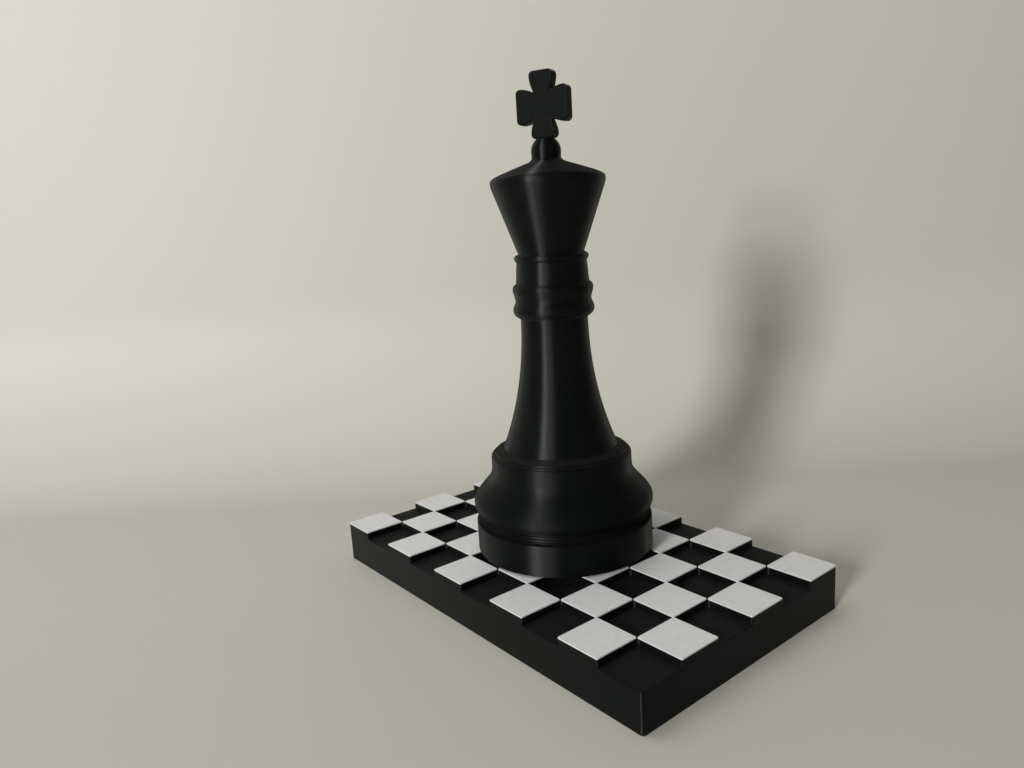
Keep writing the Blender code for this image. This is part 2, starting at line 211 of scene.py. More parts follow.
def loft(name, rings, mat):
    """A closed piece skinned over rings of (x, y, z) points in mm, with a flat face at each end."""
    mesh = bpy.data.meshes.new(name)
    work = bmesh.new()
    loops = [[work.verts.new((x * MM, y * MM, z * MM)) for x, y, z in ring] for ring in rings]
    for one, two in zip(loops, loops[1:]):
        for k in range(len(one)):
            after = (k + 1) % len(one)
            work.faces.new((one[k], one[after], two[after], two[k]))
    work.faces.new(loops[0][::-1])
    work.faces.new(loops[-1])
    bmesh.ops.recalc_face_normals(work, faces=work.faces)
    work.to_mesh(mesh)
    work.free()
    return add_piece(name, mesh, mat)


def finish_piece(piece, node):
    """The piece stands for its CAD node, which is hidden, and rides on the node's body."""
    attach(piece, BODY_OF[node])
    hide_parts(node)


# ---------------------------------------------------------------- material nodes

class Nodes:
    """Short calls for building one material's node tree."""

    def __init__(self, name):
        self.material = bpy.data.materials.new(name)
        self.material.use_nodes = True
        self.tree = self.material.node_tree
        self.shader = self.tree.nodes["Principled BSDF"]

    def add(self, kind, **values):
        node = self.tree.nodes.new(kind)
        for key, value in values.items():
            setattr(node, key, value)
        return node

    def link(self, source, target):
        self.tree.links.new(source, target)

    def feed(self, socket, value):
        """A socket takes another node's output or a constant."""
        if isinstance(value, bpy.types.NodeSocket):
            self.link(value, socket)
        else:
            socket.default_value = value

    def math(self, operation, a, b=0.0):
        node = self.add("ShaderNodeMath", operation=operation)
        self.feed(node.inputs[0], a)
        self.feed(node.inputs[1], b)
        return node.outputs[0]

    def vector(self, operation, a, b=(0.0, 0.0, 0.0)):
        node = self.add("ShaderNodeVectorMath", operation=operation)
        self.feed(node.inputs[0], a)
        self.feed(node.inputs[1], b)
        return node.outputs["Value"] if operation == "DOT_PRODUCT" else node.outputs[0]

    def ramp(self, value, low, high, from_low=0.0, from_high=1.0):
        """Eases from low to high as value runs from from_low to from_high."""
        node = self.add("ShaderNodeMapRange", interpolation_type="SMOOTHSTEP")
        for socket, number in zip(node.inputs, (value, from_low, from_high, low, high)):
            self.feed(socket, number)
        return node.outputs[0]

    def blend(self, factor, first, second):
        """First where factor is 0, second where it is 1."""
        node = self.add("ShaderNodeMix", data_type="FLOAT")
        self.feed(node.inputs["Factor"], factor)
        self.feed(node.inputs["A"], first)
        self.feed(node.inputs["B"], second)
        return node.outputs["Result"]

    def colour(self, factor, first, second):
        """As blend, between two colours."""
        node = self.add("ShaderNodeMix", data_type="RGBA")
        self.feed(node.inputs["Factor"], factor)
        node.inputs["A"].default_value = (*first, 1.0)
        node.inputs["B"].default_value = (*second, 1.0)
        return node.outputs["Result"]

    def noise(self, scale, detail=3.0, stretch=None):
        """Noise over the object's millimetres; scale is features per millimetre."""
        node = self.add("ShaderNodeTexNoise")
        place = self.millimetres
        if stretch:
            place = self.vector("MULTIPLY", place, stretch)
        self.link(place, node.inputs["Vector"])
        node.inputs["Scale"].default_value = scale
        node.inputs["Detail"].default_value = detail
        return node.outputs["Fac"]

    def use_millimetres(self):
        """Object position in millimetres: every piece has its origin at the plinth's underside."""
        place = self.add("ShaderNodeTexCoord").outputs["Object"]
        self.millimetres = self.vector("MULTIPLY", place, (1 / MM,) * 3)
        split = self.add("ShaderNodeSeparateXYZ")
        self.link(self.millimetres, split.inputs[0])
        self.z = split.outputs["Z"]

    def wave(self, place, period):
        """Rounded ridges, 0 to 1, repeating along a coordinate."""
        return self.math("ABSOLUTE", self.math("SINE", self.math("MULTIPLY", place, math.pi / period)))

    def bump(self, height, distance, normal=None):
        """Height in 0 to 1 raised by distance in millimetres."""
        node = self.add("ShaderNodeBump")
        node.inputs["Distance"].default_value = distance * MM
        self.link(height, node.inputs["Height"])
        if normal:
            self.link(normal, node.inputs["Normal"])
        return node.outputs["Normal"]


# How closely a face's normal follows the print direction: below STEEP it is a wall, above LEVEL it is level.
STEEP, LEVEL = 0.965, 0.995


def printed_lines(n, axis, limits=(STEEP, LEVEL)):
    """Layer lines on walls and diagonal fill on level faces; also how level a face is, and its normal.

    Axis is the direction in which the piece was printed, and everything is in the piece's own space.
    """
    normal = n.add("ShaderNodeTexCoord").outputs["Normal"]
    across = Vector(axis).orthogonal().normalized()
    along = Vector(axis).cross(across)
    level = n.ramp(n.math("ABSOLUTE", n.vector("DOT_PRODUCT", normal, axis)), 0.0, 1.0, *limits)
    layers = n.wave(n.vector("DOT_PRODUCT", n.millimetres, axis), LAYER)
    fill = n.wave(n.vector("DOT_PRODUCT", n.millimetres, (across + along).normalized()), LINE)
    return n.blend(level, layers, fill), level, normal


def along_layers(n, normal, axis):
    """World direction of the printed lines on a wall: along the surface and within a layer."""
    line = n.vector("CROSS_PRODUCT", normal, axis)
    never_zero = n.vector("ADD", line, (0.002, 0.0013, 0.0011))
    turn = n.add("ShaderNodeVectorTransform", vector_type="VECTOR", convert_from="OBJECT", convert_to="WORLD")
    n.link(never_zero, turn.inputs[0])
    return n.vector("NORMALIZE", turn.outputs[0])


def mixed_surface(n, factor, second):
    """The material's own shader where factor is 0, and a second shader where it is 1."""
    mix = n.add("ShaderNodeMixShader")
    n.link(factor, mix.inputs[0])
    n.link(n.shader.outputs[0], mix.inputs[1])
    n.link(second.outputs[0], mix.inputs[2])
    n.link(mix.outputs[0], n.tree.nodes["Material Output"].inputs["Surface"])


# The paler black colours worn edges and the painted light on near-level faces.
DEEP_BLACK, WORN_AND_PAINTED_LIGHT_BLACK = (0.0028, 0.0037, 0.0036), (0.010, 0.0113, 0.0108)
BODY_ROUGHNESS = 0.6
COARSE_RELIEF, LINE_RELIEF = 0.006, 0.012  # depths of black print's unevenness and of its layer lines
EDGE_FROM, EDGE_TO = 0.52, 0.62            # pointiness at which an edge starts to pale, as wear and as painted highlight, and is fully pale
FLAT_FROM, FLAT_TO = 0.85, 0.96            # lean from which a face counts as nearly level, and is
GLOSS_TINT = (0.77, 0.81, 0.81, 1.0)
GLOSS_IOR, GLOSS_LIMIT = 1.29, 0.14        # how strongly black print shines, and its most at grazing angles
GLOSS_LEVEL_STRETCH = 0.1                  # stretch of highlights on level faces
DULL_FROM, DULL_TO = TOP + 44.0, TOP + 28.0   # heights between which a piece grows duller towards the drum
MIDDLE = (0.3, 0.7)                        # the range of a noise that holds most of its values


def black_print(name, axis, level_roughness, roughness=0.42, stretch=0.66, limits=(STEEP, LEVEL), painted_sheen=0.9,
                dull=0.0, shine_under_painted_shade=1.0):
    """Satin black printed plastic: its layer lines stretch highlights right across the layers.

    Where a wall leans away from upright its layers show as steps, so it shines less. The other arguments set
    how pale the patches of painted light on near-level faces are, how much rougher the piece is towards the
    drum (dull), and how much a face that looks down still shines; the shine lost there is painted shade under
    overhangs.
    """
    n = Nodes(name)
    n.use_millimetres()
    lines, level, normal = printed_lines(n, axis, limits)
    mottle = n.noise(0.35, 4.0)
    bands = n.noise(1.0, 2.0, tuple(0.02 + 3.0 * abs(a) for a in axis))

    # Sharp edges are paler: partly worn plastic, partly a painted highlight along the edges.
    edge = n.ramp(n.add("ShaderNodeNewGeometry").outputs["Pointiness"], 0.0, 1.0, EDGE_FROM, EDGE_TO)
    wear_and_painted_edge_light = n.math("MULTIPLY", edge, n.ramp(n.noise(0.8), 0.3, 1.0, 0.35, 0.65))
    lean = n.math("ABSOLUTE", n.vector("DOT_PRODUCT", normal, axis))
    flat = n.ramp(lean, 0.0, 1.0, FLAT_FROM, FLAT_TO)
    # Pale mottled patches on near-level faces are painted light, standing for layer steps that catch the
    # light.
    patches = n.math("MULTIPLY", flat, n.ramp(mottle, 0.7 * painted_sheen, painted_sheen, *MIDDLE))
    pale = n.math("MAXIMUM", wear_and_painted_edge_light, patches)
    coarse = n.bump(n.noise(2.5, 2.0), COARSE_RELIEF)
    relief = n.bump(lines, LINE_RELIEF, coarse)
    # The base colour is deep black, paled on worn edges and by painted light on near-level faces.
    n.link(n.colour(pale, DEEP_BLACK, WORN_AND_PAINTED_LIGHT_BLACK), n.shader.inputs["Base Color"])
    n.shader.inputs["Roughness"].default_value = BODY_ROUGHNESS
    n.shader.inputs["Specular IOR Level"].default_value = 0.0
    n.link(relief, n.shader.inputs["Normal"])

    gloss = n.add("ShaderNodeBsdfAnisotropic", distribution="GGX")
    rough = n.math("ADD", n.ramp(mottle, -0.02, 0.02, *MIDDLE), n.ramp(bands, -0.015, 0.015, *MIDDLE))
    rough = n.math("ADD", rough, n.ramp(n.z, dull, 0.0, DULL_TO, DULL_FROM))
    n.link(n.math("ADD", rough, n.blend(level, roughness, level_roughness)), gloss.inputs["Roughness"])
    n.link(n.blend(level, stretch, GLOSS_LEVEL_STRETCH), gloss.inputs["Anisotropy"])
    n.link(along_layers(n, normal, axis), gloss.inputs["Tangent"])
    n.link(relief, gloss.inputs["Normal"])
    gloss.inputs["Color"].default_value = GLOSS_TINT

    fresnel = n.add("ShaderNodeFresnel")
    fresnel.inputs["IOR"].default_value = GLOSS_IOR
    shine = n.math("MINIMUM", fresnel.outputs[0], GLOSS_LIMIT)
    # Faces that look down shine less: painted shade under overhangs, such as under the bell's lip.
    down = n.vector("DOT_PRODUCT", normal, (0.0, 0.0, -1.0))
    shine = n.math("MULTIPLY", shine, n.ramp(lean, 1.0, 0.5, 0.3, 0.9))
    shine = n.math("MULTIPLY", shine, n.ramp(flat, 1.0, 0.55))
    shine = n.math("MULTIPLY", shine, n.ramp(down, 1.0, shine_under_painted_shade, 0.0, 0.45))
    mixed_surface(n, shine, gloss)
    return n.material


def white_print():
    """Matte white printed plastic with faint diagonal fill lines, and painted shade that darkens its upright
    walls.
    """
    n = Nodes("white_print")
    n.use_millimetres()
    lines, level, _ = printed_lines(n, UP)
    tone_with_painted_wall_shade = n.math("ADD", n.math("MULTIPLY", lines, 0.4), 0.6)
    tone_with_painted_wall_shade = n.math("MULTIPLY", tone_with_painted_wall_shade, n.ramp(n.noise(0.25, 3.0), 0.75, 1.0, *MIDDLE))
    # Upright walls take a darker colour: painted shade.
    tone_with_painted_wall_shade = n.math("MULTIPLY", tone_with_painted_wall_shade, n.math("ADD", n.math("MULTIPLY", level, 0.6), 0.4))
    n.link(n.colour(tone_with_painted_wall_shade, (0.50, 0.50, 0.505), (0.675, 0.675, 0.682)), n.shader.inputs["Base Color"])
    n.link(n.ramp(n.noise(0.6), 0.42, 0.55, *MIDDLE), n.shader.inputs["Roughness"])
    n.shader.inputs["Specular IOR Level"].default_value = 0.4
    n.link(n.bump(lines, 0.02), n.shader.inputs["Normal"])
    return n.material


def turned_metal(name, first, second):
    """Bright turned metal with fine tool rings and faint stains."""
    n = Nodes(name)
    n.use_millimetres()
    stains = n.ramp(n.noise(0.5, 5.0), 0.0, 1.0, 0.35, 0.65)
    n.link(n.colour(stains, first, second), n.shader.inputs["Base Color"])
    n.link(n.ramp(n.noise(3.0, 4.0, (1.0, 1.0, 6.0)), 0.24, 0.42, *MIDDLE), n.shader.inputs["Roughness"])
    n.shader.inputs["Metallic"].default_value = 1.0
    n.shader.inputs["Anisotropic"].default_value = 0.5
    n.link(n.bump(n.noise(6.0, 2.0, (0.1, 0.1, 4.0)), 0.004), n.shader.inputs["Normal"])
    return n.material


def felt():
    """Dark green-grey felt."""
    n = Nodes("felt")
    n.use_millimetres()
    fibres = n.noise(4.0, 6.0)
    n.link(n.colour(fibres, (0.012, 0.016, 0.013), (0.035, 0.042, 0.036)), n.shader.inputs["Base Color"])
    n.shader.inputs["Roughness"].default_value = 0.95
    n.shader.inputs["Sheen Weight"].default_value = 0.4
    n.link(n.bump(fibres, 0.25), n.shader.inputs["Normal"])
    return n.material


def rubber():
    """Dull black rubber."""
    n = Nodes("rubber")
    n.use_millimetres()
    grain = n.noise(5.0, 4.0)
    n.link(n.colour(grain, (0.014, 0.014, 0.014), (0.03, 0.03, 0.03)), n.shader.inputs["Base Color"])
    n.link(n.ramp(grain, 0.6, 0.8, *MIDDLE), n.shader.inputs["Roughness"])
    n.link(n.bump(grain, 0.02), n.shader.inputs["Normal"])
    return n.material


CROSS_TURN = math.radians(23.6)   # the cross's broad direction, from +X
CROSS_FACING = (-math.sin(CROSS_TURN), math.cos(CROSS_TURN), 0.0)   # the cross was printed lying on this side
BLACK = black_print("black_print", UP, 0.4)
# The cross's flat faces get fainter patches of painted light.
BLACK_FLAT = black_print("black_print_flat", CROSS_FACING, 0.75, limits=(0.984, 0.998), painted_sheen=0.6)
# The bell's downward faces shine least: painted shade under its lip.
BLACK_BELL = black_print("black_print_bell", UP, 0.4, 0.48, 0.62, dull=0.12, shine_under_painted_shade=0.25)
BLACK_BOARD = black_print("black_print_board", UP, 0.4, 0.42, 0.6)
WHITE = white_print()
STEEL = turned_metal("steel", (0.50, 0.50, 0.52), (0.62, 0.62, 0.64))
BRASS = turned_metal("brass", (0.66, 0.47, 0.20), (0.78, 0.58, 0.28))
FELT = felt()
RUBBER = rubber()


# ---------------------------------------------------------------- plinth

FILES, RANKS = 10, 6
HALF_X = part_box("board_body")[1].x / MM
HALF_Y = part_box("board_body")[1].y / MM
SUNK_DEPTH = 4.4
SUNK_LEVEL = TOP - SUNK_DEPTH
WHITE_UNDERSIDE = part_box("white_square_a1")[0].z / MM
BLOCK_EDGE = 0.8           # rounding of the upright edges of a raised block and its white square
WEB_ARC = 2.0              # rounding of the corner between two joined blocks
PLINTH_EDGE = 1.9          # rounding of the plinth's four upright edges
SINK = 1.0                 # how far blocks and webs run down into the slab
BESIDE_PEG = ("e3", "f4")  # the white squares that meet at the plinth's centre


def rounded_rectangle(west, south, east, north, inset):
    """Plan of a rectangle with rounded upright edges, drawn in by an inset; the edges keep their centres."""
    points = []
    for k, (x, y) in enumerate(((east, north), (west, north), (west, south), (east, south))):
        at_plinth_corner = abs(x) > HALF_X - 0.01 and abs(y) > HALF_Y - 0.01
        radius = PLINTH_EDGE if at_plinth_corner else BLOCK_EDGE
        inward_x, inward_y = (-1 if x == east else 1), (-1 if y == north else 1)
        left = max(radius - inset, 0.05)
        reach = inset + left
        points += arc((x + inward_x * reach, y + inward_y * reach), left, 90 * k, 90 * k + 90)
    return points


def layered(name, sides, steps, mat):
    """A block built up through (inset, height) steps, from its underside to its top face."""
    rings = [[(x, y, height) for x, y in rounded_rectangle(*sides, inset)] for inset, height in steps]
    return loft(name, rings, mat)


def sides_of(square):
    """West, south, east and north sides of a named square, in mm."""
    low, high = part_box(f"white_square_{square}")
    return low.x / MM, low.y / MM, high.x / MM, high.y / MM


def round_cutter(name, radius, low, high):
    """Upright cylinder on the king's axis, between two levels above the white squares."""
    outline = [(0, high), (radius, high), (radius, low), (0, low)]
    return turned(name, outline, STEEL, SMALL_SEGMENTS, closed=False)


def rounded_edge(low, high, radius, steps=5):
    """(Inset, height) steps up a wall that ends in a rounded top edge."""
    angles = [math.pi / 2 * k / steps for k in range(steps + 1)]
    curve = [(radius - radius * math.cos(a), high - radius + radius * math.sin(a)) for a in angles]
    return [(0.0, low)] + curve


def web_outline(x, y, mirrored):
    """Plan of the web that joins two blocks at a crossing; its two open sides are hollow arcs.

    The blocks lie to the south-west and north-east, or, when mirrored, to the south-east and north-west.
    """
    reach = WEB_ARC - 0.03     # the arcs run a little way into the blocks' walls
    inside = 0.5               # the rest of the outline lies this far inside the blocks
    side = arc((reach, -reach), WEB_ARC, 180, 90) + [(reach, inside), (inside, reach)]
    outline = side + [(-u, -v) for u, v in side]
    return [(x - u, y + v) if mirrored else (x + u, y + v) for u, v in outline]


def build_webs(low, high):
    """Webs at all crossings inside the plinth."""
    outlines = []
    for column in range(1, FILES):
        for row in range(1, RANKS):
            x = column * 2 * HALF_X / FILES - HALF_X
            y = row * 2 * HALF_Y / RANKS - HALF_Y
            outlines.append(web_outline(x, y, (column + row) % 2 == 1))
    return prism("webs", outlines, low, high, BLACK_BOARD)


def build_plinth_body():
    """Black slab with a softened rim and thirty raised blocks, joined at their corners."""
    foot = [(0.4, 0.0), (0.1, 0.1)]
    body = layered("plinth_body", (-HALF_X, -HALF_Y, HALF_X, HALF_Y),
                   foot + rounded_edge(0.4, SUNK_LEVEL, 0.45), BLACK_BOARD)
    block_foot, block_top = SUNK_LEVEL - SINK, WHITE_UNDERSIDE - HAIRLINE
    block_steps = rounded_edge(block_foot, block_top, 0.12, 2)
    for square in RAISED:
        body = combine(body, layered("block", sides_of(square), block_steps, BLACK_BOARD), "UNION")
    body = combine(body, build_webs(block_foot, block_top), "UNION")
    clearance = 0.3
    bore = round_cutter("bore", radius_of("board_peg") + clearance, levels("board_peg")[0] - clearance, 2.0)
    finish_piece(smooth(combine(body, bore, "DIFFERENCE")), "board_body")


def build_white_squares():
    """Thin white squares, each with one printed line round its edge and a fine groove inside that line."""
    edge, groove = 0.1, 0.04
    steps = rounded_edge(WHITE_UNDERSIDE, TOP, edge, 3)
    steps += [(LINE, TOP), (LINE + 0.03, TOP - groove), (LINE + 0.09, TOP - groove), (LINE + 0.12, TOP)]
    for square in RAISED:
        tile = layered(f"white_tile_{square}", sides_of(square), steps, WHITE)
        if square in BESIDE_PEG:
            relief = round_cutter("relief", radius_of("board_peg") + 2.0, -2.0, 2.0)
            tile = combine(tile, relief, "DIFFERENCE")
        finish_piece(smooth(tile), f"white_square_{square}")


# ---------------------------------------------------------------- king

PITCH = 1.66               # rise of the neck's thread in one turn
NECK_RADIUS = 46.2
CREST = 1.1                # how far a thread ridge stands out
THREAD_START = 18.73       # level of the drum's second ridge at +X; the first rises out of the shelf
ROD_HOLE = 5.0             # radius of the passage round the tie rod
SPIGOT = 12.0              # radius of the spigots that join the stem, collar and crown
SOCKET = SPIGOT + 0.3
BAR_STEPS = 32             # facets in one turn of a small thread


def thread_ridge(name, root, crest, start, turns, mat, pitch=PITCH, half_width=0.55, steps=SEGMENTS):
    """A rounded ridge wound right-handed about the king's axis; it rises from its root at both ends."""
    count = int(turns * steps) + 1
    run_in = steps / 10
    height = crest - root
    sunk, shoulder, tip_half = math.copysign(0.4, height), 0.18 * height, 0.3 * half_width
    rings = []
    for k in range(count):
        angle = 2 * math.pi * k / steps
        tip = root + height * max(0.02, min(1.0, k / run_in, (count - 1 - k) / run_in))
        section = [(root - sunk, -half_width), (root, -half_width), (tip - shoulder, -tip_half), (tip, 0.0),
                   (tip - shoulder, tip_half), (root, half_width), (root - sunk, half_width)]
        level = TOP + start + pitch * k / steps
        rings.append([(r * math.cos(angle), r * math.sin(angle), level + h) for r, h in section])
    return loft(name, rings, mat)


def build_drum():
    """Weighted foot with a crisp top edge, a felt recess below and the threaded neck above."""
    foot, neck_top = levels("base_drum")
    outer, shelf = radius_of("base_drum"), 18.0
    outline = filleted([
        (42.8, neck_top, 0.3), (NECK_RADIUS, neck_top, 0.8), (NECK_RADIUS, shelf, 0.15), (outer, shelf, 0.4),
        (outer, foot, 0.6), (47.5, foot, 0.2), (47.5, 1.6), (7.0, 1.6), (7.0, 13.5, 0.3), (10.5, 13.5, 0.3),
        (10.5, 4.6), (45.5, 4.6), (45.5, 10.0), (36.0, 13.3), (36.0, 17.0, 0.2), (42.8, 17.0)])
    drum = turned("drum_shell", outline, BLACK)
    start, turns = THREAD_START - PITCH, 5.6
    ridge = thread_ridge("neck_thread", NECK_RADIUS, NECK_RADIUS + CREST, start, turns, BLACK)
    drum = combine(drum, ridge, "UNION")
    for k in range(COVER_SCREWS):
        drum = combine(drum, screw_hole(k), "DIFFERENCE")
    finish_piece(smooth(drum), "base_drum")


def build_bell():
    """Ogee bell: rolled lip, straight shoulder and a sloping top in fine printed steps."""
    foot, top = levels("bell")
    bore, ledge = 48.0, 28.6
    outline = [(24.3, top), (31.8, top, 0.2), (37.0, 57.2, 0.15), (37.2, 56.45, 0.1), (38.3, 56.0, 0.2)]
    outline += [(38.5, 55.4, 0.1)] + bezier((39.0, 55.15), (39.4, 54.9), (39.5, 54.3), (39.45, 53.0), 6)
    outline += bezier((39.6, 48.0), (39.7, 43.2), (42.6, 40.4), (45.7, 37.0), 16)
    outline += bezier((45.7, 37.0), (48.4, 33.9), (50.8, 31.4), (50.8, 28.6), 14)[1:]
    outline += bezier((50.8, 28.6), (50.8, 27.2), (50.3, 25.0), (48.9, foot + 0.2), 12)[1:]
    outline += [(48.6, foot), (bore + 0.2, foot), (bore, foot + 0.2), (bore, ledge), (43.8, ledge)]
    outline += [(43.8, 32.0), (36.2, 41.5), (36.2, 47.0), (ROD_HOLE, 47.0), (ROD_HOLE, 51.0), (24.3, 51.0)]
    bell = turned("bell_shell", filleted(outline), BLACK_BELL)
    start, turns = THREAD_START + PITCH * 3.5, 1.25
    ridge = thread_ridge("bell_thread", bore, bore - 0.85, start, turns, BLACK_BELL)
    finish_piece(smooth(combine(bell, ridge, "UNION")), "bell")


def build_stem():
    """Concave column, hollow between its end walls, with a spigot at each end."""
    bell_top = levels("bell")[1]
    tip = levels("stem")[1]
    shoulder = levels("collar")[0]
    side = bezier((32.0, bell_top + 0.35), (21.0, 86.2), (18.5, 110.8), (18.35, shoulder - HAIRLINE), 56)
    outline = [(ROD_HOLE, tip, 0.3), (SPIGOT, tip, 0.4), (SPIGOT, shoulder - HAIRLINE)]
    outline += side[::-1]
    outline += [(31.8, bell_top + 0.1), (31.5, bell_top + HAIRLINE), (24.0, bell_top + HAIRLINE)]
    outline += [(24.0, 51.3, 0.3), (ROD_HOLE, 51.3), (ROD_HOLE, 56.0), (20.5, 56.0), (20.5, 78.0)]
    outline += [(14.8, 104.0), (14.8, 122.0), (ROD_HOLE, 127.0)]
    finish_piece(turned("stem_column", filleted(outline), BLACK), "stem")


def build_collar():
    """Double bead running up into a plain neck."""
    foot, tip = levels("collar")
    neck_top = levels("crown")[0] - HAIRLINE
    outline = [(ROD_HOLE, tip, 0.3), (SPIGOT, tip, 0.4), (SPIGOT, neck_top), (19.0, neck_top, 0.15)]
    outline += bezier((19.4, 157.5), (19.6, 154.0), (19.6, 151.5), (20.1, 150.0), 8)
    outline += bezier((20.1, 150.0), (20.9, 149.4), (21.95, 148.8), (21.95, 147.0), 8)[1:]
    outline += bezier((21.95, 147.0), (21.95, 145.0), (20.7, 143.2), (20.7, 140.9), 10)[1:]
    outline += bezier((20.7, 140.9), (20.7, 139.3), (22.15, 138.2), (22.15, 136.0), 10)[1:]
    outline += bezier((22.15, 136.0), (22.15, 133.4), (20.6, 132.4), (18.9, foot + 0.1), 10)[1:]
    outline += [(18.6, foot), (SOCKET, foot), (SOCKET, 141.3), (ROD_HOLE, 141.3)]
    finish_piece(turned("collar_rings", filleted(outline), BLACK), "collar")


def build_crown():
    """Flared crown: bead at its foot, rounded rim, low dome and ball."""
    foot, ball_top = levels("crown")
    ball, centre = 7.9, 218.5
    seat = math.sqrt(ball ** 2 - (ball_top - centre) ** 2)
    seat_angle = math.degrees(math.asin((ball_top - centre) / ball))
    outline = [(0, 216.0), (1.8, 216.0), (1.8, ball_top), (seat, ball_top)]
    outline += arc((0, centre), ball, seat_angle, 0, 14)[1:]
    outline += [(7.8, 216.6)] + bezier((7.74, 215.8), (7.7, 214.2), (8.9, 213.5), (11.0, 212.65), 10)
    outline += [(18.75, 210.0)] + bezier((22.0, 208.8), (26.0, 207.5), (28.8, 206.2), (30.0, 205.2), 10)
    outline += bezier((30.0, 205.2), (31.0, 204.3), (30.75, 202.2), (29.95, 200.0), 10)[1:]
    outline += [(17.8, 166.0)] + bezier((19.3, 165.2), (20.4, 164.7), (20.4, 162.9), (19.4, 161.9), 10)
    outline += [(19.0, foot), (SOCKET, foot), (SOCKET, 169.3), (4.9, 169.3), (4.9, 181.0), (18.5, 181.0)]
    outline += [(26.6, 202.0), (20.0, 205.5), (0, 208.0)]
    finish_piece(turned("crown_cup", outline, BLACK, closed=False), "crown")


def cross_outline(up, down, side, inset):
    """Cross with four flared, round-cornered arms, as (sideways, height) pairs in mm about its centre."""
    inner_s, inner_h, corner = 4.4 - inset, 6.7 - inset, 2.3 - inset
    broad, narrow = 8.9 - inset, 6.6 - inset
    arms = ((side - inset, broad, inner_s, inner_h), (up - inset, narrow, inner_h, inner_s),
            (side - inset, broad, inner_s, inner_h), (down - inset, narrow, inner_h, inner_s))
    points = []
    for quarter_turn, (reach, half_width, along, across) in enumerate(arms):
        edge = bezier((along, across), (along + (reach - along) * 0.3, across + (half_width - across) * 0.65),
                      (along + (reach - along) * 0.55, half_width), (reach - corner, half_width), 9)
        edge += arc((reach - corner, half_width - corner), corner, 90, 0, 8)[1:]
        lower = [(u, -v) for u, v in edge]
        turn = quarter_turn * math.pi / 2
        for u, v in (lower + edge[::-1])[:-1]:
            points.append((u * math.cos(turn) - v * math.sin(turn), u * math.sin(turn) + v * math.cos(turn)))
    return points


def build_cross():
    """Flat printed cross with softened edges, turned on the ball."""
    low, high = levels("cross")
    centre, half_thickness, side_reach, edge = 241.4, 3.7, 14.6, 1.0
    pin_radius, pin_top = 1.8, 232.5
    front = [(edge - x, half_thickness - edge + z) for x, z in arc((0.0, 0.0), edge, 0, 90, 7)]
    back = [(inset, -height) for inset, height in front[::-1]]
    rings = [[(x, y, height) for x, y in cross_outline(high - centre, centre - low, side_reach, inset)]
             for inset, height in back + front]
    cross = loft("cross_finial", rings, BLACK_FLAT)
    place = Matrix.Translation((0, 0, (TOP + centre) * MM))
    cross.data.transform(place @ Matrix.Rotation(CROSS_TURN, 4, "Z") @ Matrix.Rotation(math.pi / 2, 4, "X"))
    cross = combine(cross, round_cutter("pin_hole", pin_radius, low - 1.0, pin_top), "DIFFERENCE")
    finish_piece(smooth(cross), "cross")


# ---------------------------------------------------------------- fittings

def ring(name, node, inner, edge, mat, steps=SEGMENTS):
    """A turned ring or washer the size of its CAD node, with rounded edges."""
    low, high = levels(node)
    outer = radius_of(node)
    outline = [(inner, high, edge), (outer, high, edge), (outer, low, edge), (inner, low, edge)]
    return turned(name, filleted(outline), mat, steps)


def threaded_bar(name, root, crest, low, high, threads, pitch, mat):
    """A round bar with chamfered ends, cut with a thread over each (low, high) stretch."""
    chamfer = crest - root + 0.2
    outline = [(0, high), (crest - chamfer, high), (crest, high - chamfer)]
    for thread_low, thread_high in threads:
        cut_low, cut_high = max(thread_low, low + chamfer), min(thread_high, high - chamfer)
        outline += [(crest, cut_high), (root, cut_high - 0.3), (root, cut_low + 0.3), (crest, cut_low)]
    outline += [(crest, low + chamfer), (crest - chamfer, low), (0, low)]
    bar = turned(name, outline, mat, SMALL_SEGMENTS, closed=False)
    for thread_low, thread_high in threads:
        start = thread_low + chamfer
        turns = (thread_high - thread_low - 2 * chamfer) / pitch
        tip, half_width = crest - HAIRLINE, pitch * 0.4
        ridge = thread_ridge("thread", root, tip, start, turns, mat, pitch, half_width, BAR_STEPS)
        bar = combine(bar, ridge, "UNION")
    return bar


def build_peg():
    """Steel peg with a rounded nose, a grease groove and a chamfered foot."""
    low, high = levels("board_peg")
    radius = radius_of("board_peg")
    outline = [(0, high), (radius - 1.2, high, 0.5), (radius, high - 1.2, 0.5), (radius, high - 4.0, 0.1),
               (radius - 0.3, high - 4.3, 0.1), (radius - 0.3, high - 5.3, 0.1), (radius, high - 5.6, 0.1),
               (radius, low + 0.6, 0.2), (radius - 0.6, low), (0, low)]
    finish_piece(turned("steel_peg", filleted(outline), STEEL, SMALL_SEGMENTS, closed=False), "board_peg")


def build_felt():
    """Felt pad with a soft edge."""
    finish_piece(ring("felt_disc", "felt_pad", 5.5, 0.35, FELT), "felt_pad")


def build_bush():
    """Flanged brass bush with a led-in bore."""
    low, high = levels("pivot_bush")
    outline = [(4.3, high - 0.5), (4.8, high), (9.0, high, 0.3), (9.0, 13.8, 0.2), (6.7, 13.8, 0.15),
               (6.7, low, 0.3), (4.7, low), (4.3, low + 0.4)]
    finish_piece(turned("flanged_bush", filleted(outline), BRASS, SMALL_SEGMENTS), "pivot_bush")


def build_ballast():
    """Two steel rings with rounded edges."""
    for node in ("ballast_ring_lower", "ballast_ring_upper"):
        finish_piece(ring(node.replace("ballast", "weight"), node, 11.0, 0.5, STEEL), node)


COVER_SCREWS = 4
SCREW_CIRCLE = 39.4        # distance of each cover screw from the axis
SCREW_HOLE_RADIUS = 1.8
SCREW_HOLE_LEVELS = (11.0, 23.0)   # from inside the drum's ledge to above the cover


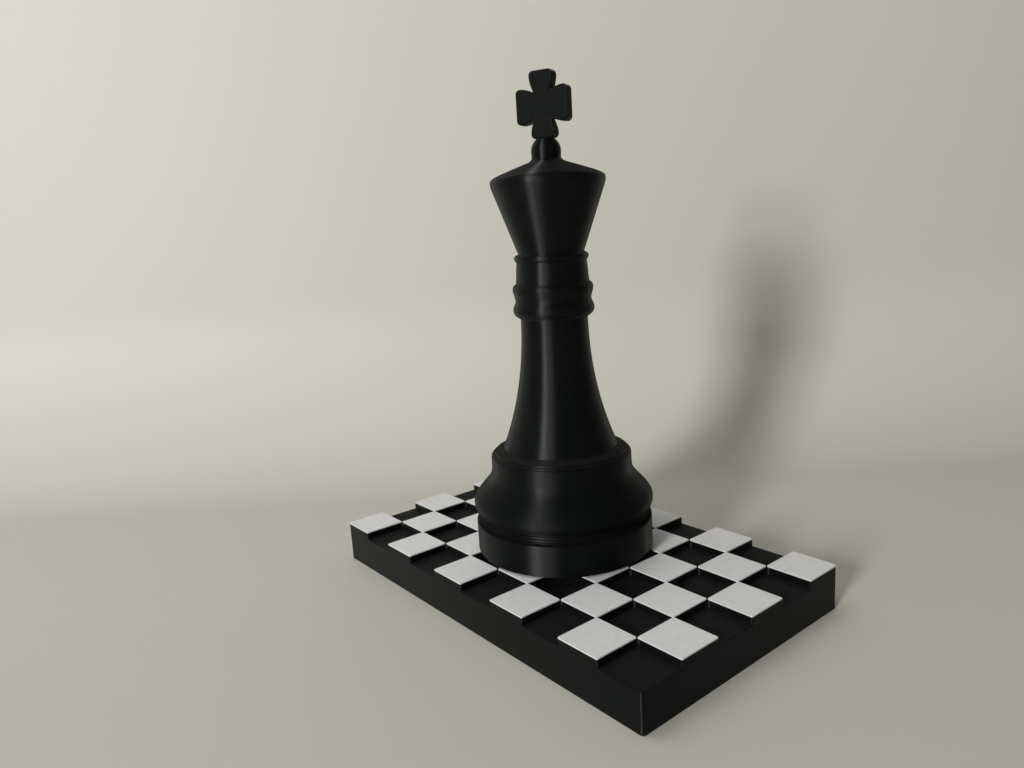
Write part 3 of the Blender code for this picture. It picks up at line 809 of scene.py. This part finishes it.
def screw_place(k):
    """Offset of a cover screw from the king's axis, in metres."""
    angle = math.radians(45 + 360 / COVER_SCREWS * k)
    return Matrix.Translation((SCREW_CIRCLE * math.cos(angle) * MM, SCREW_CIRCLE * math.sin(angle) * MM, 0))


def screw_hole(k):
    """Cutter for one cover screw's hole."""
    hole = round_cutter("screw_hole", SCREW_HOLE_RADIUS, *SCREW_HOLE_LEVELS)
    hole.data.transform(screw_place(k))
    return hole


def build_cover():
    """Printed lid over the ballast, with four screw holes."""
    low, high = levels("ballast_cover")
    radius = radius_of("ballast_cover")
    outline = filleted([(0, high - 0.6), (30.0, high - 0.6, 0.3), (31.0, high, 0.3), (radius, high, 0.4),
                        (radius, low, 0.4), (0, low)])
    cover = turned("ballast_lid", outline, BLACK, closed=False)
    for k in range(COVER_SCREWS):
        cover = combine(cover, screw_hole(k), "DIFFERENCE")
    finish_piece(smooth(cover), "ballast_cover")


def build_cover_screws():
    """Pan-head screws with a cross recess and a cut thread."""
    root, crest, pitch, arm, half = 1.15, 1.5, 0.7, 1.5, 0.3
    plus = [(half, half), (half, arm), (-half, arm), (-half, half), (-arm, half), (-arm, -half),
            (-half, -half), (-half, -arm), (half, -arm), (half, -half), (arm, -half), (arm, half)]
    for k in range(COVER_SCREWS):
        node = f"cover_screw_{k + 1}"
        low, high = levels(node)
        seat = high - 1.9
        thread = (low + 0.4, seat - 0.4)
        shank = threaded_bar(f"pan_screw_{k + 1}", root, crest, low, seat + 0.2, [thread], pitch, STEEL)
        outline = [(0, high), (1.9, high, 0.5), (2.7, high - 0.9, 0.4), (2.7, seat, 0.15), (0, seat)]
        head = turned("head", filleted(outline), STEEL, SMALL_SEGMENTS, closed=False)
        recess = prism("recess", [plus], TOP + high - 1.1, TOP + high + 1, STEEL)
        screw = combine(combine(shank, head, "UNION"), recess, "DIFFERENCE")
        screw.data.transform(screw_place(k))
        finish_piece(smooth(screw), node)


def build_seal():
    """Round-edged rubber ring on top of the neck."""
    finish_piece(ring("neck_seal", "seal_ring", 43.2, 0.45, RUBBER), "seal_ring")


def build_tie_rod():
    """Steel rod with a thread at each end."""
    low, high = levels("tie_rod")
    root, crest, pitch = 2.5, 3.0, 1.0
    threads = [(high - 16.0, high), (low, low + 14.0)]
    rod = threaded_bar("clamp_rod", root, crest, low, high, threads, pitch, STEEL)
    finish_piece(smooth(rod), "tie_rod")


def build_clamp():
    """Washer, and a hexagon nut with turned-down corners and a threaded bore."""
    bore = 3.3
    finish_piece(ring("rod_washer", "clamp_washer", bore, 0.2, STEEL, SMALL_SEGMENTS), "clamp_washer")
    low, high = levels("clamp_nut")
    corner = 10.0 / math.sqrt(3)
    hexagon = [(corner * math.cos(math.pi / 3 * k), corner * math.sin(math.pi / 3 * k)) for k in range(6)]
    nut = prism("rod_nut", [hexagon], TOP + low, TOP + high, STEEL)
    outline = [(0, high), (4.9, high), (5.9, high - 0.55), (5.9, low + 0.55), (4.9, low), (0, low)]
    crown = turned("crown", outline, STEEL, SMALL_SEGMENTS, closed=False)
    nut = combine(nut, crown, "INTERSECT")
    nut = combine(nut, round_cutter("bore", bore, low - 1, high + 1), "DIFFERENCE")
    pitch, turns, half_width = 1.0, 4.0, 0.35
    ridge = thread_ridge("thread", bore, bore - 0.24, low + 0.5, turns, STEEL, pitch, half_width, BAR_STEPS)
    finish_piece(smooth(combine(nut, ridge, "UNION")), "clamp_nut")


def build_insert():
    """Knurled brass insert for the tie rod."""
    low, high = levels("crown_insert")
    radius, teeth, bore = radius_of("crown_insert"), 40, 3.3
    outline = [(bore, high), (4.1, high), (4.25, high - 0.2), (4.25, low + 0.2), (4.1, low), (bore, low)]
    insert = turned("knurled_insert", outline, BRASS, SMALL_SEGMENTS)
    cutter = round_cutter("bore", bore, low - 1, high + 1)
    star = []
    for k in range(2 * teeth):
        reach, angle = radius if k % 2 else radius - 0.25, math.pi * k / teeth
        star.append((reach * math.cos(angle), reach * math.sin(angle)))
    middle = (low + high) / 2
    for band_low, band_high in ((low + 0.8, middle - 0.6), (middle + 0.6, high - 0.8)):
        insert = combine(insert, prism("knurl", [star], TOP + band_low, TOP + band_high, BRASS), "UNION")
    finish_piece(smooth(combine(insert, cutter, "DIFFERENCE")), "crown_insert")


def build_cross_pin():
    """Dowel that holds the cross on the ball."""
    low, high = levels("cross_pin")
    radius = radius_of("cross_pin")
    outline = [(0, high), (radius, high, 0.4), (radius, low, 0.4), (0, low)]
    finish_piece(turned("finial_dowel", filleted(outline), STEEL, SMALL_SEGMENTS, closed=False), "cross_pin")


# ---------------------------------------------------------------- studio

CAMERA_PLACE = Vector((0.31193, -0.27923, 0.20390))   # metres
CAMERA_AZIMUTH, CAMERA_ELEVATION, CAMERA_ROLL = (math.radians(a) for a in (51.64, 11.44, -3.53))
CAMERA_LENS, CAMERA_SENSOR = 26.9, 36.0                # mm
AIM = Vector((0, 0, 0.13))                            # the lights point at the middle of the king
ROOM_COLOUR = (0.80, 0.80, 0.78, 1.0)
ROOM_LIGHT, ROOM_SEEN = 0.04, 0.7                     # the room's strength as a light and to the camera
PAPER = (0.48, 0.47, 0.43, 1.0)


def build_camera():
    """Camera at the viewing angle, held a little out of level."""
    azimuth, elevation, roll = CAMERA_AZIMUTH, CAMERA_ELEVATION, CAMERA_ROLL
    level = Vector((math.sin(azimuth), -math.cos(azimuth), 0.0))
    back = level * math.cos(elevation) + Vector(UP) * math.sin(elevation)
    right = Vector(UP).cross(back).normalized()
    up = back.cross(right)
    rolled_right = right * math.cos(roll) + up * math.sin(roll)
    rolled_up = up * math.cos(roll) - right * math.sin(roll)
    camera = bpy.data.objects.new("camera", bpy.data.cameras.new("camera"))
    bpy.context.scene.collection.objects.link(camera)
    turn = Matrix((rolled_right, rolled_up, back)).transposed().to_4x4()
    camera.matrix_world = Matrix.Translation(CAMERA_PLACE) @ turn
    camera.data.lens = CAMERA_LENS
    camera.data.sensor_width = CAMERA_SENSOR
    camera.data.clip_start = 0.01
    bpy.context.scene.camera = camera


def backdrop_material():
    """Pale paper. Its back is clear to the camera, so that it never hides the object."""
    n = Nodes("pale_paper")
    n.shader.inputs["Base Color"].default_value = PAPER
    n.shader.inputs["Roughness"].default_value = 0.6
    behind = n.math("MULTIPLY", n.add("ShaderNodeNewGeometry").outputs["Backfacing"],
                    n.add("ShaderNodeLightPath").outputs["Is Camera Ray"])
    mixed_surface(n, behind, n.add("ShaderNodeBsdfTransparent"))
    return n.material


def build_sweep():
    """Pale floor that curves up into a wall behind the object."""
    reach, bend, start, height, half_width = 8.0, 0.15, 0.155, 5.0, 10.0   # metres
    profile = [(-reach, 0.0), (start, 0.0)]
    profile += arc((start, bend), bend, -90, 0, 24)[1:]
    profile.append((start + bend, height))
    forward = Vector((-math.sin(CAMERA_AZIMUTH), math.cos(CAMERA_AZIMUTH), 0))
    side = Vector(UP).cross(forward) * half_width
    mesh = bpy.data.meshes.new("sweep")
    points, faces = [], []
    for k, (x, z) in enumerate(profile):
        middle = forward * x + Vector(UP) * z
        points += [middle - side, middle + side]
        if k:
            faces.append((2 * k - 2, 2 * k, 2 * k + 1, 2 * k - 1))
    mesh.from_pydata(points, [], faces)
    mesh.shade_smooth()
    add_piece("sweep", mesh, backdrop_material())


def area_light(name, azimuth, elevation, distance, size, watts, colour):
    """Soft rectangular light aimed at the king; azimuth in degrees from +X towards +Y."""
    data = bpy.data.lights.new(name, "AREA")
    data.shape = "RECTANGLE"
    data.size, data.size_y = size
    data.energy = watts
    data.color = colour
    light = bpy.data.objects.new(name, data)
    bpy.context.scene.collection.objects.link(light)
    a, e = math.radians(azimuth), math.radians(elevation)
    away = Vector((math.cos(a) * math.cos(e), math.sin(a) * math.cos(e), math.sin(e)))
    light.location = AIM + away * distance
    light.rotation_euler = away.to_track_quat("Z", "Y").to_euler()
    return light


def build_world():
    """Dim, even light from all round, which the camera sees as a pale room."""
    world = bpy.data.worlds.new("room")
    bpy.context.scene.world = world
    world.use_nodes = True
    tree = world.node_tree
    background = tree.nodes["Background"]
    background.inputs["Color"].default_value = ROOM_COLOUR
    camera_ray = tree.nodes.new("ShaderNodeLightPath").outputs["Is Camera Ray"]
    strength = tree.nodes.new("ShaderNodeMapRange")
    strength.inputs["To Min"].default_value = ROOM_LIGHT
    strength.inputs["To Max"].default_value = ROOM_SEEN
    tree.links.new(camera_ray, strength.inputs["Value"])
    tree.links.new(strength.outputs[0], background.inputs["Strength"])


def build_studio():
    """Camera, backdrop, room light, one soft window and a faint overhead light that makes no highlights."""
    build_camera()
    build_sweep()
    build_world()
    area_light("window", azimuth=-75, elevation=16, distance=4.0, size=(0.65, 1.1), watts=170,
               colour=(1.0, 0.985, 0.945))
    overhead = area_light("overhead", azimuth=-140, elevation=70, distance=1.4, size=(1.2, 1.2), watts=11,
                          colour=(0.97, 0.98, 1.0))
    overhead.visible_glossy = False
    bpy.context.scene.view_settings.view_transform = "Standard"


build_plinth_body()
build_white_squares()
build_peg()
build_drum()
build_bush()
build_felt()
build_ballast()
build_cover()
build_cover_screws()
build_seal()
build_bell()
build_stem()
build_collar()
build_crown()
build_insert()
build_tie_rod()
build_clamp()
build_cross()
build_cross_pin()
build_studio()
